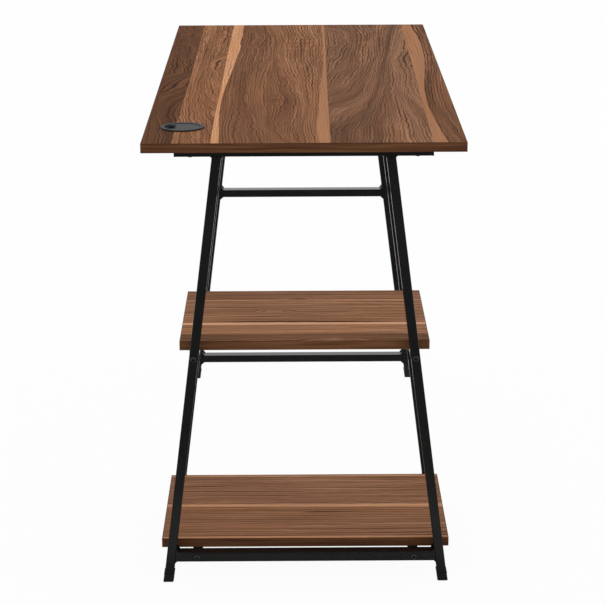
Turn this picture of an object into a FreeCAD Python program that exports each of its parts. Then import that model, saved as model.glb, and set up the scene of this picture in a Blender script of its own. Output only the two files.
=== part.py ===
import FreeCAD, Part
import math
import os

from FreeCAD import Vector

# Computer desk: a laminated board on three welded steel frames with splayed legs.
# Two shelves sit on rails between the left and the middle frame, and the knee space
# is between the middle and the right frame. A cable grommet sits in the top.
# Millimetres. X runs along the desk, +Y to its rear edge, +Z up. The origin is on the
# floor under the middle of the top. "Left" and "front" are as the seated user sees them.

# Top board
desk_length = 1200.0
desk_depth = 500.0
desk_height = 738.0
board_thickness = 15.0
band_thickness = 1.0
band_rounding = 0.5

# Steel tube of the frames
tube_wide = 15.0
tube_deep = 25.0
tube_wall = 1.2
tube_rounding = 2.0

# Frames: each is a top bar, two splayed legs and crossbars
frame_inset = 42.0
bar_end_setback = 50.0
leg_from_bar_end = 57.1
foot_setback = 18.25
crossbar_top = 49.5
upper_crossbar_top = 406.5
bead_width = 5.0
bead_height = 6.0
bead_depth = 4.0
shelf_frame_bead = 2.5
bar_bead = 2.5

# Shelves and the rails under them
shelf_length = 300.0
shelf_end_gap = 2.5
upper_shelf_setback = 50.0
upper_shelf_top = 402.0
lower_shelf_setback = 15.0
lower_shelf_top = 64.5
rail_side = 15.0
rail_wall = 1.2
rail_rounding = 1.5

# Rail bolts, button heads with a hexagon socket, and the threaded blocks they enter
bolt_diameter = 6.0
bolt_length = 38.0
bolt_head_diameter = 10.5
bolt_head_height = 3.3
bolt_head_crown = 1.6
bolt_socket_flats = 4.0
bolt_socket_depth = 2.0
bolt_hole_clearance = 0.3
thread_clearance = 0.05
block_length = 10.0
block_clearance = 0.1

# Pan head wood screws: through the top bars into the top, and through the rails into the shelves
screw_diameter = 4.0
screw_head_diameter = 9.0
screw_head_height = 2.4
screw_head_crown = 1.2
screw_recess_width = 1.2
screw_recess_span = 4.6
screw_recess_depth = 1.2
screw_hole_clearance = 0.3
pilot_clearance = 0.05
pilot_spare = 1.0
screw_bite = 10.0
top_screw_from_bar_end = 23.0
shelf_screw_from_shelf_end = 60.0

# Plastic plugs in the open ends of the top bars
plug_flange = 1.5
plug_overhang = 0.5
plug_depth = 14.0
plug_wall = 1.5
plug_clearance = 0.1
plug_rounding = 0.5

# Plastic caps on the leg ends
cap_height = 14.0
cap_sole = 3.0
cap_wall = 0.6
cap_clearance = 0.1
cap_lip_height = 2.0
cap_lip_overhang = 0.4
cap_sole_overhang = 0.2

# Cable grommet: a liner in a hole of the top, a lift-off cover and a sliding shutter
grommet_from_left_end = 125.0
grommet_from_rear_edge = 58.5
grommet_hole = 60.0
grommet_hole_clearance = 0.2
liner_length = 20.0
liner_wall = 1.6
liner_flange_diameter = 70.0
liner_flange_height = 2.2
liner_flange_rounding = 1.2
ledge_width = 2.8
ledge_height = 1.6
cover_thickness = 2.0
cover_recess = 0.8
cover_clearance = 0.3
cover_rounding = 0.4
slot_width = 30.0
slot_edge_offset = 10.2
slot_rounding = 2.5
shutter_thickness = 1.2
shutter_overlap = 3.0
shutter_side_overlap = 1.4
shutter_clearance = 0.3
shutter_lug_width = 6.0
shutter_lug_thickness = 1.6
shutter_lug_rise = 0.5
shutter_travel = 12.6
guide_wall = 1.2
guide_lip = 1.0
guide_lip_height = 0.9
guide_back = 13.0

# One overrun for every cutting tool
overrun = 5.0

X_AXIS = Vector(1, 0, 0)
Y_AXIS = Vector(0, 1, 0)
Z_AXIS = Vector(0, 0, 1)
NOWHERE = Vector(0, 0, 0)
SIDES = {"front": -1, "rear": 1}
QUARTER = math.radians(90)
QUARTER_DEGREES = 90

# Heights and places that follow from the sizes above
shelf_bay = shelf_length + 2 * shelf_end_gap
board_bottom = desk_height - board_thickness
bar_bottom = board_bottom - tube_wide
top_bar_length = desk_depth - 2 * bar_end_setback
leg_reach_at_bar = top_bar_length / 2 - leg_from_bar_end
leg_reach_at_floor = desk_depth / 2 - foot_setback
slope = (leg_reach_at_floor - leg_reach_at_bar) / bar_bottom
leg_wide = tube_wide * math.hypot(1, slope)
upper_shelf_width = desk_depth - 2 * upper_shelf_setback
lower_shelf_width = desk_depth - 2 * lower_shelf_setback
frame_x = {
    "left_frame": -desk_length / 2 + frame_inset + tube_deep / 2,
    "middle_frame": -desk_length / 2 + frame_inset + tube_deep + shelf_bay + tube_deep / 2,
    "right_frame": desk_length / 2 - frame_inset - tube_deep / 2,
}
shelf_frames = ("left_frame", "middle_frame")
bay_start = frame_x["left_frame"] + tube_deep / 2
bay_end = bay_start + shelf_bay
bay_middle = (bay_start + bay_end) / 2
upper_rail_top = upper_shelf_top - board_thickness
lower_rail_top = lower_shelf_top - board_thickness
upper_bolt_height = upper_rail_top - rail_side / 2
lower_bolt_height = lower_rail_top - rail_side / 2
rail_y = leg_reach_at_floor - slope * upper_bolt_height - leg_wide / 2
top_screw_y = top_bar_length / 2 - top_screw_from_bar_end
shelf_screw_reach = shelf_length / 2 - shelf_screw_from_shelf_end
grommet_centre = Vector(-desk_length / 2 + grommet_from_left_end,
                        desk_depth / 2 - grommet_from_rear_edge, 0)


def rounded_face(size_x, size_y, rounding):
    """A rectangle with round corners in the XY plane, centred on the origin."""
    reach_x = size_x / 2 - rounding
    reach_y = size_y / 2 - rounding
    corners = [(reach_x, reach_y), (-reach_x, reach_y), (-reach_x, -reach_y), (reach_x, -reach_y)]
    arcs = []
    for turn, (x, y) in enumerate(corners):
        circle = Part.Circle(Vector(x, y, 0), Z_AXIS, rounding)
        arcs.append(Part.Arc(circle, turn * QUARTER, (turn + 1) * QUARTER).toShape())
    edges = []
    for turn, arc in enumerate(arcs):
        following = arcs[(turn + 1) % len(arcs)]
        edges.append(arc)
        edges.append(Part.makeLine(arc.Vertexes[-1].Point, following.Vertexes[0].Point))
    return Part.Face(Part.Wire(edges))


def box(x0, x1, y0, y1, z0, z1):
    """A block between two corners."""
    return Part.makeBox(x1 - x0, y1 - y0, z1 - z0, Vector(x0, y0, z0))


def joined(pieces):
    """The pieces fused into one solid with no seams left inside."""
    return pieces[0].multiFuse(pieces[1:]).removeSplitter()


def prism_yz(points, x0, x1):
    """A polygon given as (y, z) points, stretched from x0 to x1."""
    corners = [Vector(x0, y, z) for y, z in points]
    outline = Part.makePolygon(corners + corners[:1])
    return Part.Face(outline).extrude(Vector(x1 - x0, 0, 0))


def turned(points, centre):
    """A profile given as (radius, height) points, turned about the upright axis through centre."""
    corners = [Vector(radius, 0, height) for radius, height in points]
    outline = Part.makePolygon(corners + corners[:1])
    solid = Part.Face(outline).revolve(NOWHERE, Z_AXIS)
    solid.translate(centre)
    return solid


def edges_where(shape, test):
    """The edges of a shape whose middle point passes a test."""
    return [edge for edge in shape.Edges if test(edge.valueAt((edge.FirstParameter + edge.LastParameter) / 2))]


def same(a, b):
    """Whether two lengths are equal, within the modeller's own tolerance."""
    return math.isclose(a, b, abs_tol=tube_wall / 1000)


def leg_outer(height):
    """Distance from the desk's middle line to a leg's outer face, at a height."""
    return leg_reach_at_floor - slope * height


def leg_inner(height):
    return leg_outer(height) - leg_wide


def leg_prism(x, side, z0, z1, grow):
    """The leg's full section, grown on every side, along the leg's slope from z0 to z1."""
    face = rounded_face(tube_deep + 2 * grow, leg_wide + 2 * grow, tube_rounding + grow)
    start = side * (leg_outer(z0) - leg_wide / 2)
    end = side * (leg_outer(z1) - leg_wide / 2)
    face.translate(Vector(x, start, z0))
    return face.extrude(Vector(0, end - start, z1 - z0))


def drilled(shape, places, direction, radius, length):
    """Round holes through a shape, each starting at its place."""
    for place in places:
        shape = shape.cut(Part.makeCylinder(radius, length, place, direction))
    return shape


def bolt_places(frame, height, hole=False):
    """Where the rail bolts cross a frame: the start points of their holes, or their heads' seats."""
    outward = -1 if frame == "left_frame" else 1
    seat = frame_x[frame] + outward * tube_deep / 2
    start = seat + outward * overrun if hole else seat
    return [Vector(start, side * rail_y, height) for side in SIDES.values()]


def inward(frame):
    """The direction in which a frame's rail bolts are driven."""
    return X_AXIS if frame == "left_frame" else -X_AXIS


def along_y(face):
    """A section drawn in the XY plane, stood up so that its Y side is upright."""
    face.rotate(NOWHERE, X_AXIS, QUARTER_DEGREES)
    return face


def tube_along_y(x, top, length):
    """A straight frame tube across the desk, its upper face at the height top."""
    middle = Vector(x, -length / 2, top - tube_wide / 2)
    outer = along_y(rounded_face(tube_deep, tube_wide, tube_rounding))
    inner = along_y(rounded_face(tube_deep - 2 * tube_wall, tube_wide - 2 * tube_wall,
                                 tube_rounding - tube_wall))
    outer.translate(middle)
    inner.translate(middle)
    run = Vector(0, length, 0)
    return outer.extrude(run).cut(inner.extrude(run))


# Top board and its edge bands

def top_screw_places(frame):
    """The screw axes of a frame, at the underside of its top bar."""
    return [Vector(frame_x[frame], side * top_screw_y, bar_bottom) for side in SIDES.values()]


def pilot_holes(board, places, underside):
    """Blind holes for wood screws in the underside of a board."""
    starts = [Vector(place.x, place.y, underside - overrun) for place in places]
    depth = overrun + screw_bite + pilot_spare
    return drilled(board, starts, Z_AXIS, screw_diameter / 2 + pilot_clearance, depth)


def desktop():
    reach_x = desk_length / 2 - band_thickness
    reach_y = desk_depth / 2 - band_thickness
    board = box(-reach_x, reach_x, -reach_y, reach_y, board_bottom, desk_height)
    bore = Part.makeCylinder(grommet_hole / 2 + grommet_hole_clearance, board_thickness + 2 * overrun,
                             grommet_centre + Vector(0, 0, board_bottom - overrun))
    board = board.cut(bore)
    for frame in frame_x:
        board = pilot_holes(board, top_screw_places(frame), board_bottom)
    return board


def end_band(x_outer, width, top, side):
    """A band along a short edge. Its outer edges are rounded over."""
    x_inner = x_outer - side * band_thickness
    band = box(min(x_inner, x_outer), max(x_inner, x_outer), -width / 2, width / 2,
               top - board_thickness, top)
    return band.makeFillet(band_rounding, edges_where(band, lambda point: same(point.x, x_outer)))


def long_band(x0, x1, y_outer, top, side):
    """A band along a long edge, between the two end bands."""
    y_inner = y_outer - side * band_thickness
    band = box(x0 + band_thickness, x1 - band_thickness, min(y_inner, y_outer), max(y_inner, y_outer),
               top - board_thickness, top)
    rims = edges_where(band, lambda point: same(point.y, y_outer)
                       and (same(point.z, top) or same(point.z, top - board_thickness)))
    return band.makeFillet(band_rounding, rims)


def shelf_board(width, top):
    """A shelf with its underside drilled for the screws from the rails."""
    reach = shelf_length / 2 - band_thickness
    board = box(bay_middle - reach, bay_middle + reach, -width / 2 + band_thickness,
                width / 2 - band_thickness, top - board_thickness, top)
    return pilot_holes(board, shelf_screw_places(top - board_thickness - rail_side), top - board_thickness)


def shelf_bands(width, top):
    """The four bands round a shelf."""
    x0 = bay_middle - shelf_length / 2
    x1 = bay_middle + shelf_length / 2
    bands = [end_band(x0, width, top, -1), end_band(x1, width, top, 1)]
    bands += [long_band(x0, x1, side * width / 2, top, side) for side in SIDES.values()]
    return Part.makeCompound(bands)


# Frames

def top_bar(frame):
    bar = tube_along_y(frame_x[frame], board_bottom, top_bar_length)
    starts = [place - Vector(0, 0, overrun) for place in top_screw_places(frame)]
    return drilled(bar, starts, Z_AXIS, screw_diameter / 2 + screw_hole_clearance, tube_wide + 2 * overrun)


def bar_beads(x, side):
    """Weld beads in the outer and inner corner between a leg and the top bar."""
    beads = []
    for edge, outward in ((leg_outer, 1), (leg_inner, -1)):
        corner = edge(bar_bottom)
        below = bar_bottom - bar_bead
        points = [(side * (corner + outward * bar_bead), bar_bottom),
                  (side * edge(below), below),
                  (side * (edge(below) - outward * tube_wall), below),
                  (side * (corner - outward * tube_wall), bar_bottom)]
        reach = tube_deep / 2 - tube_rounding
        beads.append(prism_yz(points, x - reach, x + reach))
    return beads


def leg(frame, side):
    """One splayed leg: an oblique tube from the top bar down into its cap."""
    x = frame_x[frame]
    outer = leg_prism(x, side, cap_sole, bar_bottom, 0)
    cavity = leg_prism(x, side, cap_sole - overrun, bar_bottom + overrun, -tube_wall)
    tube = joined([outer] + bar_beads(x, side)).cut(cavity)
    if frame in shelf_frames:
        starts = bolt_places(frame, upper_bolt_height, hole=True)
        tube = drilled(tube, starts, inward(frame), bolt_diameter / 2 + bolt_hole_clearance,
                       tube_deep + 2 * overrun)
    return tube


def crossbar(frame, top):
    """A tube between the legs, cut to their slope, with its weld beads."""
    x = frame_x[frame]
    bead_below = shelf_frame_bead if frame in shelf_frames else bead_width
    bottom = top - tube_wide
    bar = tube_along_y(x, top, 2 * leg_outer(bottom))
    low = bottom - bead_height
    high = top + bead_height
    between = prism_yz([(-leg_inner(low), low), (leg_inner(low), low),
                        (leg_inner(high), high), (-leg_inner(high), high)],
                       x - tube_deep / 2, x + tube_deep / 2)
    bar = bar.common(between)
    beads = []
    for side in SIDES.values():
        for face, away, width, height in ((top, 1, bead_width, bead_height),
                                          (bottom, -1, bead_below, bead_below)):
            tip = face + away * height
            root = face - away * tube_rounding
            points = [(side * leg_inner(tip), tip),
                      (side * (leg_inner(face) - width), face),
                      (side * (leg_inner(face) - width), root),
                      (side * leg_inner(root), root)]
            for outward in (-1, 1):
                skin = x + outward * tube_deep / 2
                core = skin - outward * bead_depth
                beads.append(prism_yz(points, min(skin, core), max(skin, core)))
    bar = joined([bar] + beads)
    if frame in shelf_frames and same(top, crossbar_top):
        starts = bolt_places(frame, lower_bolt_height, hole=True)
        bar = drilled(bar, starts, inward(frame), bolt_diameter / 2 + bolt_hole_clearance,
                      tube_deep + 2 * overrun)
    return bar


def bar_plug(frame, side):
    """A plug in one end of a top bar: a flange outside and a hollow stem inside the tube."""
    x = frame_x[frame]
    height = board_bottom - tube_wide / 2
    flange = along_y(rounded_face(tube_deep, tube_wide, tube_rounding))
    flange = flange.extrude(Vector(0, plug_flange, 0))
    lip = along_y(rounded_face(tube_deep + 2 * plug_overhang, tube_wide - tube_rounding, plug_rounding))
    lip = lip.extrude(Vector(0, plug_flange, 0))
    lip.translate(Vector(0, 0, -plug_overhang - tube_rounding / 2 + plug_rounding))
    gap = tube_wall + plug_clearance
    stem = along_y(rounded_face(tube_deep - 2 * gap, tube_wide - 2 * gap, plug_rounding))
    stem = stem.extrude(Vector(0, -plug_depth, 0))
    hollow = along_y(rounded_face(tube_deep - 2 * gap - 2 * plug_wall, tube_wide - 2 * gap - 2 * plug_wall,
                                  plug_rounding / 2))
    hollow = hollow.extrude(Vector(0, -plug_depth - overrun, 0))
    plug = joined([flange, lip, stem]).cut(hollow)
    if side < 0:
        plug.rotate(NOWHERE, Z_AXIS, 2 * QUARTER_DEGREES)
    plug.translate(Vector(x, side * top_bar_length / 2, height))
    return plug


def foot_cap(frame, side):
    """A cap over a leg's end: sole, wall and a lip round its mouth."""
    x = frame_x[frame]
    wall = cap_clearance + cap_wall
    body = leg_prism(x, side, 0, cap_height, wall)
    sole = leg_prism(x, side, 0, cap_sole, wall + cap_sole_overhang)
    lip = leg_prism(x, side, cap_height - cap_lip_height, cap_height, wall + cap_lip_overhang)
    socket = leg_prism(x, side, cap_sole, cap_height + overrun, cap_clearance)
    return joined([body, sole, lip]).cut(socket)


# Rails under the shelves

def shelf_screw_places(underside):
    """The screw axes of one shelf, at the underside of its rails."""
    return [Vector(bay_middle + step * shelf_screw_reach, side * rail_y, underside)
            for step in (-1, 1) for side in SIDES.values()]


def rail(top, side):
    """A square tube along the desk, between two frames, drilled for the shelf screws."""
    place = Vector(bay_start, side * rail_y, top - rail_side / 2)
    outer = rounded_face(rail_side, rail_side, rail_rounding)
    inner = rounded_face(rail_side - 2 * rail_wall, rail_side - 2 * rail_wall, rail_rounding - rail_wall)
    shells = []
    for face in (outer, inner):
        face.rotate(NOWHERE, Y_AXIS, QUARTER_DEGREES)
        face.translate(place)
        shells.append(face.extrude(Vector(shelf_bay, 0, 0)))
    tube = shells[0].cut(shells[1])
    underside = top - rail_side
    starts = [spot - Vector(0, 0, overrun) for spot in shelf_screw_places(underside)
              if spot.y * side > 0]
    return drilled(tube, starts, Z_AXIS, screw_diameter / 2 + screw_hole_clearance,
                   rail_side + 2 * overrun)


def rail_blocks():
    """A threaded block in each end of each rail."""
    size = rail_side - 2 * rail_wall - 2 * block_clearance
    blocks = []
    for height in (upper_bolt_height, lower_bolt_height):
        for side in SIDES.values():
            for x0 in (bay_start, bay_end - block_length):
                block = box(x0, x0 + block_length, side * rail_y - size / 2, side * rail_y + size / 2,
                            height - size / 2, height + size / 2)
                start = Vector(x0 - overrun, side * rail_y, height)
                blocks.append(drilled(block, [start], X_AXIS, bolt_diameter / 2 + thread_clearance,
                                      block_length + 2 * overrun))
    return Part.makeCompound(blocks)


# Fasteners, first drawn upright with the seat of the head at the origin

def rail_bolt():
    """A button head bolt. Its shank points up and its head hangs below the seat."""
    head = bolt_head_diameter / 2
    top = head - bolt_head_crown
    rim = -bolt_head_height + bolt_head_crown
    body = turned([(0, bolt_length), (bolt_diameter / 2, bolt_length), (bolt_diameter / 2, 0), (head, 0),
                   (head, rim), (top, -bolt_head_height), (0, -bolt_head_height)], NOWHERE)
    across_corners = bolt_socket_flats / math.cos(math.pi / 6)
    corners = [Vector(across_corners / 2 * math.cos(turn * math.pi / 3),
                      across_corners / 2 * math.sin(turn * math.pi / 3), -bolt_head_height)
               for turn in range(6)]
    socket = Part.Face(Part.makePolygon(corners + corners[:1])).extrude(Vector(0, 0, bolt_socket_depth))
    return body.cut(socket)


def rail_bolts():
    bolts = []
    for frame in shelf_frames:
        for height in (upper_bolt_height, lower_bolt_height):
            for seat in bolt_places(frame, height):
                bolt = rail_bolt()
                way = 1 if frame == "left_frame" else -1
                bolt.rotate(NOWHERE, Y_AXIS, way * QUARTER_DEGREES)
                bolt.translate(seat)
                bolts.append(bolt)
    return Part.makeCompound(bolts)


def wood_screw(length):
    """A pan head screw with a cross recess. Its point is up and its head hangs below the seat."""
    shank = screw_diameter / 2
    head = screw_head_diameter / 2
    crown = head - screw_head_crown
    rim = -screw_head_height + screw_head_crown
    body = turned([(0, length), (shank, length - screw_diameter), (shank, 0), (head, 0), (head, rim),
                   (crown, -screw_head_height), (0, -screw_head_height)], NOWHERE)
    arms = []
    for across, along in ((screw_recess_span, screw_recess_width), (screw_recess_width, screw_recess_span)):
        arms.append(box(-across / 2, across / 2, -along / 2, along / 2, -screw_head_height,
                        -screw_head_height + screw_recess_depth))
    return body.cut(joined(arms))


def placed_screws(length, places):
    """The same screw at each place."""
    screws = []
    for place in places:
        screw = wood_screw(length)
        screw.translate(place)
        screws.append(screw)
    return Part.makeCompound(screws)


def top_screws():
    places = [place for frame in frame_x for place in top_screw_places(frame)]
    return placed_screws(tube_wide + screw_bite, places)


def shelf_screws():
    places = [place for top in (upper_rail_top, lower_rail_top) for place in shelf_screw_places(top - rail_side)]
    return placed_screws(rail_side + screw_bite, places)


# Cable grommet, drawn about its own axis with the top of the desk at height zero

liner_outer = grommet_hole / 2
liner_inner = liner_outer - liner_wall
cover_top = liner_flange_height - cover_recess
cover_bottom = cover_top - cover_thickness
cover_radius = liner_inner - cover_clearance
ledge_inner = liner_inner - ledge_width
shutter_top = cover_bottom - shutter_clearance / 2
shutter_bottom = shutter_top - shutter_thickness
shutter_radius = ledge_inner - shutter_clearance
shutter_half = slot_width / 2 + shutter_side_overlap


def on_desk(shape):
    """Moves a piece drawn about the grommet's axis to its place in the top."""
    shape.translate(grommet_centre + Vector(0, 0, desk_height))
    return shape


def grommet_liner():
    """A sleeve with a flange above the top and a ledge inside for the cover."""
    rim = liner_flange_diameter / 2
    shoulder = rim - liner_flange_rounding
    drop = liner_flange_height - liner_flange_rounding
    liner = turned([(liner_outer, 0), (rim, 0), (rim, drop), (shoulder, liner_flange_height),
                    (liner_inner, liner_flange_height), (liner_inner, cover_bottom),
                    (ledge_inner, cover_bottom), (ledge_inner, cover_bottom - ledge_height),
                    (liner_inner, cover_bottom - ledge_height), (liner_inner, -liner_length),
                    (liner_outer, -liner_length)], NOWHERE)
    return on_desk(liner)


def slot_tool():
    """The shape cut out of the cover for the cables, open to the rear."""
    reach = 2 * cover_radius
    face = rounded_face(slot_width, reach, slot_rounding)
    face.translate(Vector(0, slot_edge_offset + reach / 2, cover_bottom - overrun))
    return face.extrude(Vector(0, 0, cover_thickness + 2 * overrun))


def guide(side):
    """An angle under the cover that holds one side of the shutter."""
    inner = shutter_half + shutter_clearance
    outer = inner + guide_wall
    front = math.sqrt(shutter_radius ** 2 - outer ** 2)
    lip_top = shutter_bottom - shutter_clearance / 2
    wall = box(inner, outer, -guide_back, front, lip_top - guide_lip_height, cover_bottom)
    lip = box(inner - guide_lip, outer, -guide_back, front, lip_top - guide_lip_height, lip_top)
    angle = joined([wall, lip])
    if side < 0:
        angle = angle.mirror(NOWHERE, X_AXIS)
    return angle


def grommet_cover():
    """A disc with a cable slot, and two guides for the shutter under it."""
    shoulder = cover_radius - cover_rounding
    disc = turned([(0, cover_bottom), (cover_radius, cover_bottom), (cover_radius, cover_top - cover_rounding),
                   (shoulder, cover_top), (0, cover_top)], NOWHERE)
    disc = disc.cut(slot_tool())
    return on_desk(joined([disc, guide(-1), guide(1)]))


def grommet_shutter():
    """A plate that slides under the cover, with a thumb lug standing in the slot. Drawn open."""
    back = slot_edge_offset - shutter_overlap
    plate = box(-shutter_half, shutter_half, back, shutter_radius, shutter_bottom, shutter_top)
    disc = Part.makeCylinder(shutter_radius, shutter_thickness, Vector(0, 0, shutter_bottom))
    plate = plate.common(disc)
    lug_end = shutter_radius - shutter_clearance
    lug = box(-shutter_lug_width / 2, shutter_lug_width / 2, lug_end - shutter_lug_thickness, lug_end,
              shutter_bottom, cover_top + shutter_lug_rise)
    shutter = joined([plate, lug])
    shutter.translate(Vector(0, -shutter_travel, 0))
    return on_desk(shutter)


def all_nodes():
    """Every sub-part by its name."""
    nodes = {
        "desktop": desktop(),
        "desktop_left_band": end_band(-desk_length / 2, desk_depth, desk_height, -1),
        "desktop_right_band": end_band(desk_length / 2, desk_depth, desk_height, 1),
        "upper_shelf": shelf_board(upper_shelf_width, upper_shelf_top),
        "upper_shelf_bands": shelf_bands(upper_shelf_width, upper_shelf_top),
        "lower_shelf": shelf_board(lower_shelf_width, lower_shelf_top),
        "lower_shelf_bands": shelf_bands(lower_shelf_width, lower_shelf_top),
        "rail_blocks": rail_blocks(),
        "rail_bolts": rail_bolts(),
        "top_screws": top_screws(),
        "shelf_screws": shelf_screws(),
        "grommet_liner": grommet_liner(),
        "grommet_cover": grommet_cover(),
        "grommet_shutter": grommet_shutter(),
    }
    for name, side in SIDES.items():
        nodes[f"desktop_{name}_band"] = long_band(-desk_length / 2, desk_length / 2, side * desk_depth / 2,
                                                  desk_height, side)
        nodes[f"upper_{name}_rail"] = rail(upper_rail_top, side)
        nodes[f"lower_{name}_rail"] = rail(lower_rail_top, side)
    for frame in frame_x:
        nodes[f"{frame}_top_bar"] = top_bar(frame)
        nodes[f"{frame}_crossbar"] = crossbar(frame, crossbar_top)
        for name, side in SIDES.items():
            nodes[f"{frame}_{name}_leg"] = leg(frame, side)
            nodes[f"{frame}_{name}_foot_cap"] = foot_cap(frame, side)
            nodes[f"{frame}_{name}_bar_plug"] = bar_plug(frame, side)
    nodes["right_frame_upper_crossbar"] = crossbar("right_frame", upper_crossbar_top)
    return nodes


os.makedirs("parts", exist_ok=True)
for node, shape in all_nodes().items():
    print(node, "solids", len(shape.Solids), "valid", shape.isValid(), "volume", round(shape.Volume))
    shape.exportStep(os.path.join("parts", node + ".step"))
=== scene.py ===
import math

import bpy
from mathutils import Matrix, Vector


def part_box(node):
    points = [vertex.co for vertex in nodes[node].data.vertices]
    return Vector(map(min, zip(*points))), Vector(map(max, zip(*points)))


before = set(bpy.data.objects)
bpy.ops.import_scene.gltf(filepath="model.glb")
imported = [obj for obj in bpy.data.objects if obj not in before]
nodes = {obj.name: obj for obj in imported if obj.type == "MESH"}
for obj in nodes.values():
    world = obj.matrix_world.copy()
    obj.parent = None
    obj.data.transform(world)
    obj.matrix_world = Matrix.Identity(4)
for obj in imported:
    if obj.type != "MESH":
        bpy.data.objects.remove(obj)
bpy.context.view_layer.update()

# Camera: it stands in front of the desk's left end and above the top, and looks along the
# desk. The lens, tilt and place come from the edges measured in the photograph.
camera_stand_off = 3.2873
camera_above_top = 0.6761
camera_to_rear = 0.0140
camera_tilt = math.radians(15.779)
camera_turn = math.radians(0.188)
camera_roll = math.radians(0.243)
camera = bpy.data.objects.new("camera", bpy.data.cameras.new("camera"))
camera.data.sensor_width = 36
camera.data.lens = 130.57
camera.data.clip_start = 0.1
camera.data.clip_end = 100
bpy.context.scene.collection.objects.link(camera)
bpy.context.scene.camera = camera
left_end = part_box("desktop_left_band")[0].x
top_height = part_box("desktop")[1].z
ahead = Vector((math.cos(camera_tilt) * math.cos(camera_turn),
                -math.cos(camera_tilt) * math.sin(camera_turn),
                -math.sin(camera_tilt)))
level = ahead.cross(Vector((0, 0, 1))).normalized()
upright = level.cross(ahead)
right = math.cos(camera_roll) * level - math.sin(camera_roll) * upright
up = math.sin(camera_roll) * level + math.cos(camera_roll) * upright
camera.matrix_world = Matrix((
    (right.x, up.x, -ahead.x, left_end - camera_stand_off),
    (right.y, up.y, -ahead.y, camera_to_rear),
    (right.z, up.z, -ahead.z, top_height + camera_above_top),
    (0, 0, 0, 1)))


# Top board: particle board faced with a walnut print of five planks, three of them edged
# with pale sapwood. The print has a fine pressed grain and a satin sheen.
class Finish:
    """A material in the making, with short ways to add nodes to it."""

    def __init__(self, name):
        self.material = bpy.data.materials.new(name)
        self.material.use_nodes = True
        self.tree = self.material.node_tree
        self.shader = self.tree.nodes["Principled BSDF"]

    def feed(self, socket, value):
        if isinstance(value, bpy.types.NodeSocket):
            self.tree.links.new(value, socket)
        else:
            socket.default_value = value

    def node(self, kind, inputs=(), **settings):
        made = self.tree.nodes.new("ShaderNode" + kind)
        for name, value in settings.items():
            setattr(made, name, value)
        for slot, value in (inputs.items() if isinstance(inputs, dict) else enumerate(inputs)):
            self.feed(made.inputs[slot], value)
        return made

    def math(self, operation, *values):
        return self.node("Math", values, operation=operation).outputs[0]

    def vector(self, x, y, z):
        return self.node("CombineXYZ", (x, y, z)).outputs[0]

    def point(self):
        """The point on the object in metres."""
        return self.node("TexCoord").outputs["Object"]

    def place(self):
        """The point on the object, split into its three parts."""
        return self.node("SeparateXYZ", (self.point(),)).outputs

    def noise(self, vector, scale, detail=2.0, roughness=0.5):
        return self.node("TexNoise", {"Vector": vector, "Scale": scale, "Detail": detail,
                                      "Roughness": roughness}).outputs[0]

    def spread(self, value, low, high, to_low=0.0, to_high=1.0, smooth=True):
        """Stretches a range of a value onto another range, and holds it there."""
        way = "SMOOTHSTEP" if smooth else "LINEAR"
        return self.node("MapRange", {"Value": value, "From Min": low, "From Max": high,
                                      "To Min": to_low, "To Max": to_high},
                         interpolation_type=way).outputs[0]

    def swing(self, noise, reach, middle):
        """Moves a value to both sides of its middle, as the noise goes round a half."""
        return self.math("MULTIPLY_ADD", self.math("SUBTRACT", noise, 0.5), reach, middle)

    def ramp(self, value, stops):
        ramp = self.node("ValToRGB", (value,))
        band = ramp.color_ramp.elements
        band[0].position, band[1].position = stops[0][0], stops[-1][0]
        band[0].color, band[1].color = (*stops[0][1], 1), (*stops[-1][1], 1)
        for position, colour in stops[1:-1]:
            band.new(position).color = (*colour, 1)
        return ramp.outputs[0]

    def mixed(self, share, first, second, way="MIX"):
        """Mixes two colours, at the sockets that the node keeps for colours."""
        mix = self.node("Mix", data_type="RGBA", blend_type=way)
        self.feed(mix.inputs[0], share)
        for socket, value in ((mix.inputs[6], first), (mix.inputs[7], second)):
            self.feed(socket, value if isinstance(value, bpy.types.NodeSocket) else (*value, 1))
        return mix.outputs[2]

    def scaled(self, vector, factor):
        made = self.node("VectorMath", {"Vector": vector, "Scale": factor}, operation="SCALE")
        return made.outputs[0]

    def curve(self, value, points):
        """A smooth line through points, both axes from 0 to 1."""
        made = self.node("FloatCurve", {1: value})
        line = made.mapping.curves[0]
        line.points[0].location, line.points[1].location = points[0], points[-1]
        for point in points[1:-1]:
            line.points.new(*point)
        for point in line.points:
            point.handle_type = "AUTO_CLAMPED"
        made.mapping.update()
        return made.outputs[0]

    def bump(self, height, distance, strength=1.0):
        made = self.node("Bump", {"Strength": strength, "Distance": distance, "Height": height})
        self.feed(self.shader.inputs["Normal"], made.outputs[0])

    def set(self, **values):
        for name, value in values.items():
            self.feed(self.shader.inputs[name.replace("_", " ")], value)


def dress(names, finish):
    """Gives a finish to parts of the frame."""
    for name in names:
        materials = nodes[name].data.materials
        materials.clear()
        materials.append(finish.material)


walnut_colours = [
    (0.00, (0.026, 0.011, 0.006)), (0.22, (0.074, 0.032, 0.015)), (0.45, (0.164, 0.071, 0.033)),
    (0.66, (0.275, 0.126, 0.060)), (0.84, (0.425, 0.207, 0.103)), (0.94, (0.566, 0.287, 0.142)),
    (1.00, (0.780, 0.450, 0.270))]
warm_cast, cool_cast = (1.07, 0.97, 0.84), (0.94, 0.99, 1.10)
seam_blur = 0.0004
narrowest_growth = 0.0006
growth_blur = 0.002
millimetre = 0.001


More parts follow.
